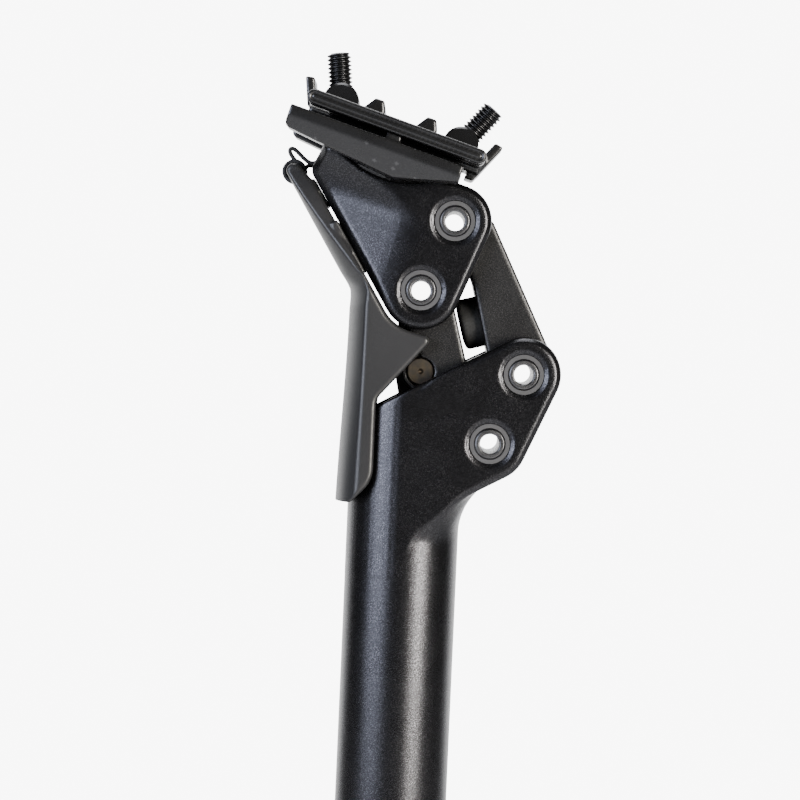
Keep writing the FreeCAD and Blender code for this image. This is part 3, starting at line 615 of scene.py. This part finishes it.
def axle(node, pivot, body):
    """Hollow axle: bright chamfered rim, shallow turned face and a deep bore."""
    half, lip = TUBE_R - AXLE_INSET, 0.25
    corners = [(0, AXLE_HOLE_R + lip), (0, AXLE_R - AXLE_CHAMFER), (AXLE_CHAMFER, AXLE_R),
               (2 * half - AXLE_CHAMFER, AXLE_R), (2 * half, AXLE_R - AXLE_CHAMFER),
               (2 * half, AXLE_HOLE_R + lip), (2 * half - lip, AXLE_HOLE_R), (lip, AXLE_HOLE_R)]
    obj = lathe("turned_" + node, soft_profile(corners, 0.08), at_y(pivot, -half), at_y(pivot, half), 72)
    stand_for(obj, body, node, AXLE)


def thread(name, start, end, r, pitch):
    """External thread: a helical ridge of the standard sharp form with flat crest and root."""
    start, end = Vector(start), Vector(end)
    way = (end - start).normalized()
    length = (end - start).length
    across = way.orthogonal().normalized()
    other = way.cross(across)
    sides, per_pitch = 36, 8
    rows = int(length / pitch * per_pitch)
    depth = 0.61 * pitch
    points, faces = [], []
    for i in range(rows + 1):
        along = length * i / rows
        fade = min(1.0, along / (0.6 * pitch))
        for k in range(sides):
            phase = (along / pitch - k / sides) % 1.0
            tooth = min(1.0, max(0.0, (abs(phase - 0.5) * 2 - 0.12) / 0.72))
            radius = r - depth * tooth - 0.5 * (1 - fade)
            angle = 2 * math.pi * k / sides
            points.append(start + way * along + (across * math.cos(angle) + other * math.sin(angle)) * radius)
    for i in range(rows):
        for k in range(sides):
            m = (k + 1) % sides
            faces.append((i * sides + k, i * sides + m, (i + 1) * sides + m, (i + 1) * sides + k))
    faces.append(range(sides - 1, -1, -1))
    faces.append(range(rows * sides, (rows + 1) * sides))
    return piece(name, points, faces)


def merged(name, *parts):
    """One object from several meshes."""
    points, faces = [], []
    for part in parts:
        base = len(points)
        points += [v.co / MM for v in part.data.vertices]
        faces += [[base + i for i in face.vertices] for face in part.data.polygons]
        bpy.data.objects.remove(part)
    return piece(name, points, faces)


def clamp_bolt(name, side):
    """Socket head bolt: threaded shank up through the nut, head with a socket below."""
    top = at_y(bolt_point(side, -BOLT_ABOVE), 0)
    under = at_y(bolt_point(side, BOLT_SEAT + WASHER_HEIGHT), 0)
    foot = at_y(bolt_point(side, BOLT_SEAT + WASHER_HEIGHT + BOLT_HEAD), 0)
    shank = thread(name + "_thread", top, under, BOLT_R, THREAD_PITCH)
    corners = [(0, 0.01), (0, BOLT_HEAD_R), (BOLT_HEAD, BOLT_HEAD_R), (BOLT_HEAD, 2.9), (2.4, 2.9),
               (2.4, 0.01)]
    cap = lathe(name + "_cap", soft_profile(corners, 0.45, 5), under, foot, 60)
    return merged(name, shank, cap)


def coil(name, r, wire, low, high, turns):
    """Coil spring with closed, flattened ends."""
    per_turn, around_wire = 40, 12
    count = int(turns * per_turn)
    closed = 1.2 * per_turn
    heights = [0.0]
    for i in range(count):
        open_share = min(1.0, max(0.0, min(i, count - i) / closed - 0.6) / 0.4)
        heights.append(heights[-1] + 0.25 + open_share)
    spread = (high - low - wire) / heights[-1]
    points, faces = [], []
    for i, height in enumerate(heights):
        angle = 2 * math.pi * i / per_turn
        z = low + wire / 2 + height * spread
        for k in range(around_wire):
            turn = 2 * math.pi * k / around_wire
            radius = r - wire / 2 + wire / 2 * math.cos(turn)
            points.append((radius * math.cos(angle), radius * math.sin(angle), z + wire / 2 * math.sin(turn)))
    for i in range(len(heights) - 1):
        for k in range(around_wire):
            m = (k + 1) % around_wire
            a, b = i * around_wire, (i + 1) * around_wire
            faces.append((a + k, b + k, b + m, a + m))
    faces.append(range(around_wire - 1, -1, -1))
    faces.append(range((len(heights) - 1) * around_wire, len(heights) * around_wire))
    return piece(name, points, faces)


def cord_mesh(name, path, r, closed=False):
    """A smooth rubber strand along a path of 3-D points, millimetres."""
    curve = bpy.data.curves.new(name, "CURVE")
    curve.dimensions = "3D"
    curve.bevel_depth = r * MM
    curve.bevel_resolution = 4
    curve.resolution_u = 8
    curve.use_fill_caps = True
    spline = curve.splines.new("NURBS")
    spline.points.add(len(path) - 1)
    for point, co in zip(spline.points, path):
        point.co = (*[c * MM for c in co], 1.0)
    spline.order_u = 4
    spline.use_cyclic_u = closed
    spline.use_endpoint_u = not closed
    obj = bpy.data.objects.new(name, curve)
    bpy.context.scene.collection.objects.link(obj)
    mesh = bpy.data.meshes.new_from_object(obj.evaluated_get(bpy.context.evaluated_depsgraph_get()))
    mesh.name = name
    bpy.data.objects.remove(obj)
    made = bpy.data.objects.new(name, mesh)
    bpy.context.scene.collection.objects.link(made)
    mesh.shade_smooth()
    return made


def fender_band():
    """Rubber band: two turns round the hook, a folded tail, and two strands into the head."""
    anchor = add(HEAD_CORNER, (1.2, 6.2))
    parts = []
    for side in (-1, 1):
        y = side * BAND_Y
        loop = [at_y(add(HOOK, turned(BAND_LOOP_R, 15.0 * k)), y + 0.1 * math.sin(k)) for k in range(24)]
        parts.append(cord_mesh("loop", loop, BAND_R, closed=True))
        dip = (-25.1, 344.6)
        high = [(-27.3, 342.4), (-28.8, 344.2), (-31.2, 346.5), (-31.4, 348.1), (-30.2, 348.3),
                (-28.0, 346.0), (-26.6, 344.9), dip, (-23.3, 346.2), (-22.3, 348.4), anchor]
        low = [add(HOOK, turned(BAND_LOOP_R, 20)), (-26.8, 344.6), (-25.9, 344.1), dip, (-23.5, 345.8),
               (-22.6, 347.9), anchor]
        parts.append(cord_mesh("strand", [at_y(point, y) for point in (high if side < 0 else low)], STRAND_R))
    left = add(HOOK, (-BAND_LOOP_R, 0))
    parts.append(cord_mesh("tie", [at_y(left, y) for y in (-BAND_Y, -0.5, 0.5, BAND_Y)], BAND_R))
    return merged("band", *parts)


def bumper():
    """Rubber top-out stop: a barrel with a rolled rim and a shallow dish."""
    centre, slant = bumper_line()
    start, end = add(centre, turned(-BUMPER_BACK, slant)), add(centre, turned(BUMPER_FRONT, slant))
    rim_r, length = BUMPER_R - 0.05, BUMPER_BACK + BUMPER_FRONT - 0.1
    corners = [(0, 0.01), (0, 4.2), (0.6, rim_r), (length, rim_r), (length, 0.01)]
    return lathe("bumper", soft_profile(corners, 0.9, 6), at_y(start, 0), at_y(end, 0), 64)


def washer(name, side):
    corners = [(0, BOLT_HOLE_R), (0, WASHER_R), (WASHER_HEIGHT, WASHER_R), (WASHER_HEIGHT, BOLT_HOLE_R)]
    return lathe(name, soft_profile(corners, 0.2), at_y(bolt_point(side, BOLT_SEAT), 0),
                 at_y(bolt_point(side, BOLT_SEAT + WASHER_HEIGHT), 0), 48)


# ---------------------------------------------------------------- materials
class Nodes:
    """A material's node tree, with short calls for the nodes used here."""

    def __init__(self, name):
        self.look = bpy.data.materials.new(name)
        self.look.use_nodes = True
        self.tree = self.look.node_tree
        self.shader = self.tree.nodes["Principled BSDF"]
        self.place = self.node("ShaderNodeTexCoord").outputs["Object"]

    def node(self, kind, **values):
        made = self.tree.nodes.new(kind)
        for key, value in values.items():
            setattr(made, key, value)
        return made

    def link(self, source, target):
        self.tree.links.new(source, target)

    def stretched(self, scale):
        mapping = self.node("ShaderNodeMapping")
        self.link(self.place, mapping.inputs["Vector"])
        mapping.inputs["Scale"].default_value = scale
        return mapping.outputs["Vector"]

    def noise(self, size, detail=3.0, roughness=0.5, vector=None):
        """Noise whose blobs are about this many millimetres across."""
        made = self.node("ShaderNodeTexNoise")
        self.link(vector or self.place, made.inputs["Vector"])
        made.inputs["Scale"].default_value = 1.0 / (size * MM)
        made.inputs["Detail"].default_value = detail
        made.inputs["Roughness"].default_value = roughness
        return made.outputs["Fac"]

    def ramp(self, source, low, high, start=0.35, end=0.65):
        made = self.node("ShaderNodeMapRange")
        self.link(source, made.inputs["Value"])
        for key, value in (("From Min", start), ("From Max", end), ("To Min", low), ("To Max", high)):
            made.inputs[key].default_value = value
        return made.outputs["Result"]

    def mix(self, share, first, second):
        made = self.node("ShaderNodeMix", data_type="RGBA")
        self.link(share, made.inputs["Factor"])
        for socket, value in ((made.inputs["A"], first), (made.inputs["B"], second)):
            if isinstance(value, tuple):
                socket.default_value = (*value, 1.0)
            else:
                self.link(value, socket)
        return made.outputs["Result"]

    def product(self, first, second, operation="MULTIPLY"):
        made = self.node("ShaderNodeMath", operation=operation)
        for socket, value in ((made.inputs[0], first), (made.inputs[1], second)):
            if isinstance(value, float):
                socket.default_value = value
            else:
                self.link(value, socket)
        return made.outputs["Value"]

    def relief(self, height, depth, strength=1.0, under=None):
        made = self.node("ShaderNodeBump")
        self.link(height, made.inputs["Height"])
        made.inputs["Distance"].default_value = depth * MM
        made.inputs["Strength"].default_value = strength
        if under is not None:
            self.link(under, made.inputs["Normal"])
        return made.outputs["Normal"]

    def edges(self, low=0.52, high=0.62):
        """One where the surface turns outward sharply, zero on flats."""
        return self.ramp(self.node("ShaderNodeNewGeometry").outputs["Pointiness"], 0.0, 1.0, low, high)


def blasted(name, dark, light, metallic, rough, grain=0.28, depth=0.02, edge=0.5, speckle=0.5):
    """Bead-blasted, anodised metal: fine even pits, slow mottling, and a painted highlight that makes sharp
    edges a little brighter.
    """
    n = Nodes(name)
    mottle = n.ramp(n.noise(9.0, 4.0), 0.0, 1.0)
    pits = n.noise(grain, 2.0, 0.7)
    body = n.mix(mottle, dark, light)
    speckled = n.mix(n.ramp(pits, 0.0, speckle, 0.48, 0.72), body, tuple(min(1.0, c * 3.2) for c in light))
    # painted highlight: sharp outward edges are lightened towards three times the light tone, by the share
    # given in edge
    edge_highlit = n.mix(n.product(n.edges(), edge), speckled, tuple(min(1.0, c * 3.0) for c in light))
    n.link(edge_highlit, n.shader.inputs["Base Color"])
    n.link(n.ramp(n.noise(6.0, 2.0), rough - 0.015, rough + 0.015), n.shader.inputs["Roughness"])
    n.link(n.relief(pits, depth), n.shader.inputs["Normal"])
    n.shader.inputs["Metallic"].default_value = metallic
    n.shader.inputs["Specular IOR Level"].default_value = 0.5
    return n.look


def turned_metal(name, colour, rough, pitch=0.12, tint=None):
    """Machined metal with faint tool marks, rings about the pivots' axes."""
    n = Nodes(name)
    rings = n.noise(pitch, 2.0, 0.6, n.stretched((1.0, 0.02, 1.0)))
    patches = n.ramp(n.noise(2.5, 2.0), 0.0, 1.0)
    second = tint or tuple(c * 0.7 for c in colour)
    n.link(n.mix(patches, colour, second), n.shader.inputs["Base Color"])
    n.link(n.ramp(rings, rough - 0.08, rough + 0.1), n.shader.inputs["Roughness"])
    n.link(n.relief(rings, 0.01), n.shader.inputs["Normal"])
    n.shader.inputs["Metallic"].default_value = 1.0
    return n.look


def rubber(name, colour, rough):
    n = Nodes(name)
    dust = n.ramp(n.noise(0.5, 4.0, 0.7), 0.0, 0.5)
    n.link(n.mix(dust, colour, tuple(c * 2.5 + 0.01 for c in colour)), n.shader.inputs["Base Color"])
    n.link(n.ramp(n.noise(1.5, 2.0), rough - 0.06, rough + 0.06), n.shader.inputs["Roughness"])
    n.link(n.relief(n.noise(0.3, 2.0), 0.015), n.shader.inputs["Normal"])
    n.shader.inputs["Specular IOR Level"].default_value = 0.35
    return n.look


def moulded(name, colour, rough, texture=0.35, depth=0.02):
    """Moulded plastic with a fine spark-eroded texture and slight flow marks."""
    n = Nodes(name)
    flow = n.ramp(n.noise(14.0, 2.0, 0.5, n.stretched((1.0, 1.0, 0.3))), 0.0, 1.0)
    grit = n.noise(texture, 2.0, 0.65)
    n.link(n.mix(flow, colour, tuple(c * 1.35 for c in colour)), n.shader.inputs["Base Color"])
    n.link(n.ramp(grit, rough - 0.05, rough + 0.06), n.shader.inputs["Roughness"])
    n.link(n.relief(grit, depth), n.shader.inputs["Normal"])
    return n.look


ANODISED = blasted("black_anodised", (0.031, 0.031, 0.034), (0.035, 0.035, 0.038), 0.95, 0.27, 0.26, 0.03,
                   0.6, 1.0)
FORGED = blasted("smooth_black", (0.055, 0.055, 0.057), (0.06, 0.06, 0.062), 0.9, 0.28, 0.4, 0.004, 0.4, 0.1)
LINK = blasted("link_black", (0.036, 0.036, 0.037), (0.041, 0.041, 0.042), 0.95, 0.36, 0.26, 0.03, 0.5, 0.9)
OXIDE = blasted("black_oxide", (0.026, 0.026, 0.028), (0.034, 0.034, 0.036), 0.85, 0.26, 0.2, 0.004, 0.8, 0.1)
GUARD = moulded("guard_black", (0.018, 0.018, 0.019), 0.36, 0.3, 0.012)
PLASTIC = moulded("moulded_black", (0.012, 0.012, 0.012), 0.5)
BUSH = moulded("bush_grey", (0.05, 0.05, 0.052), 0.45, 0.2, 0.01)
RUBBER = rubber("rubber_black", (0.014, 0.014, 0.014), 0.55)
AXLE = turned_metal("turned_axle", (0.22, 0.22, 0.23), 0.3)
STEEL = turned_metal("pin_steel", (0.16, 0.135, 0.1), 0.36, 0.12, (0.11, 0.1, 0.09))
SPRING = blasted("spring_steel", (0.16, 0.16, 0.165), (0.22, 0.22, 0.22), 1.0, 0.3, 0.4, 0.01)
PLUG = turned_metal("plug_alloy", (0.1, 0.1, 0.105), 0.35)


# ---------------------------------------------------------------- the assembly
stand_for(post(), "post", "post_body", ANODISED)
stand_for(head(), "head", "head", ANODISED)
for node, body, form, slot, look, step in (
        ("front_link", "front_link", front_link_form, "anodised_black", LINK, 0.4),
        ("rear_link", "rear_link", rear_link_form, "anodised_black", LINK, 0.4),
        ("fender", "head", fender_form, "guard_black", GUARD, 0.3),
        ("cradle", "clamp", cradle_form, "forged_black", FORGED, 0.4),
        ("upper_clamp", "clamp", upper_clamp_form, "forged_black", FORGED, 0.35)):
    low, high = around(node)
    stand_for(meshed(node + "_shape", low, high, step, form), body, node, look)
stand_for(bumper(), "front_link", "topout_bumper", RUBBER)
stand_for(fender_band(), "head", "fender_band", RUBBER)
for end, side in (("rear", -1), ("front", 1)):
    stand_for(clamp_bolt(end + "_bolt", side), "head", end + "_clamp_bolt", OXIDE)
    stand_for(washer(end + "_washer", side), "head", end + "_clamp_washer", OXIDE)
axle("lower_rear_axle", LOWER_REAR, "rear_link")
axle("upper_rear_axle", UPPER_REAR, "rear_link")
axle("lower_front_axle", LOWER_FRONT, "front_link")
axle("upper_front_axle", UPPER_FRONT, "front_link")

SPRING_LOW, SPRING_HIGH = (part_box("main_spring")[i][2] / MM for i in (0, 1))
for name, node, r, wire, turns in (("main_coil", "main_spring", 10.4, 3.2, 27),
                                   ("inner_coil", "inner_spring", 6.4, 2.2, 36)):
    spring = coil(name, r, wire, SPRING_LOW, SPRING_HIGH, turns)
    stand_for(spring, "post", node, SPRING)
    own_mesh(spring)

CARRIED = {"pushrod": PLASTIC, "pushrod_bush": BUSH, "pushrod_pin": STEEL, "piston": PLASTIC,
           "piston_ring": BUSH, "spring_seat": PLASTIC, "preload_plug": PLUG, "plug_o_ring": RUBBER,
           "rear_clamp_nut": OXIDE, "front_clamp_nut": OXIDE}
for place in ("lower_rear", "lower_front", "upper_rear", "upper_front"):
    for side in ("left", "right"):
        CARRIED[f"{place}_bush_{side}"] = BUSH
for node, look in CARRIED.items():
    for slot in frame["nodes"][node].material_slots:
        slot.material = look


# ---------------------------------------------------------------- stage
def soft_light(name, position, target, width, height, watts, colour, spread=180.0):
    light = bpy.data.lights.new(name, "AREA")
    light.shape = "RECTANGLE"
    light.size, light.size_y = width, height
    light.energy = watts
    light.color = colour
    light.spread = math.radians(spread)
    obj = bpy.data.objects.new(name, light)
    obj.location = position
    obj.rotation_euler = (Vector(target) - Vector(position)).to_track_quat("-Z", "Y").to_euler()
    bpy.context.scene.collection.objects.link(obj)


def floor():
    """Round pale floor."""
    turns = [math.radians(5 * k) for k in range(72)]
    points = [(FLOOR_R * math.cos(t), FLOOR_R * math.sin(t), -1.0) for t in turns]
    sheet = piece("floor", points, [list(range(72))])
    n = Nodes("pale_paper")
    n.link(n.mix(n.noise(40.0), (0.93, 0.93, 0.93), (0.95, 0.95, 0.95)), n.shader.inputs["Base Color"])
    n.shader.inputs["Roughness"].default_value = 0.9
    sheet.data.materials.append(n.look)


def studio():
    """White all round to the eye; as light, a soft glow from behind the object."""
    world = bpy.data.worlds.new("studio")
    bpy.context.scene.world = world
    world.use_nodes = True
    tree = world.node_tree
    place = tree.nodes.new("ShaderNodeTexCoord")
    axes = tree.nodes.new("ShaderNodeSeparateXYZ")
    tree.links.new(place.outputs["Generated"], axes.inputs["Vector"])
    glow = tree.nodes.new("ShaderNodeMapRange")
    glow.interpolation_type = "SMOOTHSTEP"
    tree.links.new(axes.outputs["Y"], glow.inputs["Value"])
    for key, value in (("From Min", 0.35), ("From Max", 0.85), ("To Min", 0.05), ("To Max", 2.6)):
        glow.inputs[key].default_value = value
    strength = tree.nodes.new("ShaderNodeMath")
    strength.operation = "MULTIPLY_ADD"
    tree.links.new(tree.nodes.new("ShaderNodeLightPath").outputs["Is Camera Ray"], strength.inputs[0])
    strength.inputs[1].default_value = 6.0
    tree.links.new(glow.outputs["Result"], strength.inputs[2])
    tree.links.new(strength.outputs["Value"], tree.nodes["Background"].inputs["Strength"])
    tree.nodes["Background"].inputs["Color"].default_value = (1.0, 1.0, 1.0, 1.0)


FLOOR_R = 1100.0
floor()
studio()
AIM = (0.0, 0.0, 0.3)
soft_light("left", (-0.73, -0.68, 0.42), AIM, 0.7, 0.6, 2.6, (0.8, 0.85, 1.0), 80.0)
soft_light("right", (0.66, -0.75, 0.38), AIM, 0.36, 0.6, 4.2, (1.0, 0.95, 0.86), 80.0)
soft_light("top", (0.0, 0.1, 1.2), AIM, 0.5, 0.5, 5, (1.0, 1.0, 1.0))
camera = bpy.data.cameras.new("camera")
camera.lens = 135.1
camera.sensor_width = 36.0
viewpoint = bpy.data.objects.new("camera", camera)
bpy.context.scene.collection.objects.link(viewpoint)
VIEW_ROLL = math.radians(2.54)
EYE = Vector((0.00217, -0.730, 0.3102))
SIGHT = (Vector((-0.00197, 0.0, 0.28836)) - EYE).normalized()
RIGHT = Vector((math.cos(VIEW_ROLL), 0.0, math.sin(VIEW_ROLL)))
UP = RIGHT.cross(SIGHT).normalized()
RIGHT = SIGHT.cross(UP).normalized()
viewpoint.matrix_world = Matrix((RIGHT, UP, -SIGHT)).transposed().to_4x4()
viewpoint.location = EYE
bpy.context.scene.camera = viewpoint
